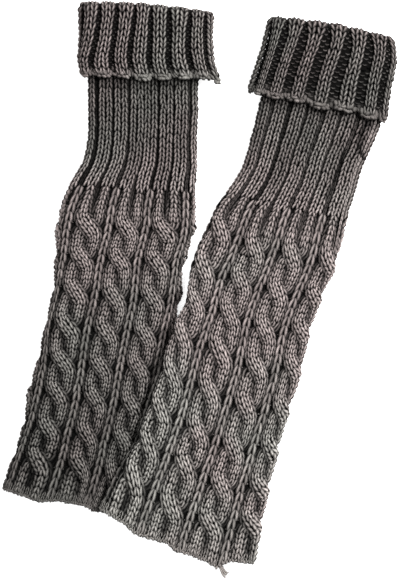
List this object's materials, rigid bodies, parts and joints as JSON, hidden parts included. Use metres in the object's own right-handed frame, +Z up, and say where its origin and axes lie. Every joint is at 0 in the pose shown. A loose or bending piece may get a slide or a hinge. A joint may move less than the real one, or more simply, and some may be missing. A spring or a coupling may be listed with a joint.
{
  "type": "pair of cable-knit leg warmers",
  "caption": "Pair of long knitted leg warmers with turned-down rib cuffs, ribbed tops and cable-knit legs, laid flat with one lapped over the other.",
  "frame": {"origin": "middle of the pair's box, on the surface they lie on", "axes": "+Y along the legs, from the hems towards the cuffs; +Z up, through the thickness; +X across the pair, towards the lapping leg warmer"},
  "size_m": [0.3084, 0.4369, 0.0211],
  "materials": {
    "cuff_knit": "matt wool yarn",
    "cuff_bind_off": "matt wool yarn",
    "rib_knit": "matt wool yarn",
    "cable_knit": "matt wool yarn",
    "cast_on_hem": "matt wool yarn"
  },
  "bodies": {
    "root": {"left_cuff": "cuff_knit", "left_cuff_edge": "cuff_bind_off", "left_rib": "rib_knit", "left_leg": "cable_knit", "left_hem": "cast_on_hem", "right_cuff": "cuff_knit", "right_cuff_edge": "cuff_bind_off", "right_rib": "rib_knit", "right_leg": "cable_knit", "right_hem": "cast_on_hem"}
  },
  "joints": []
}
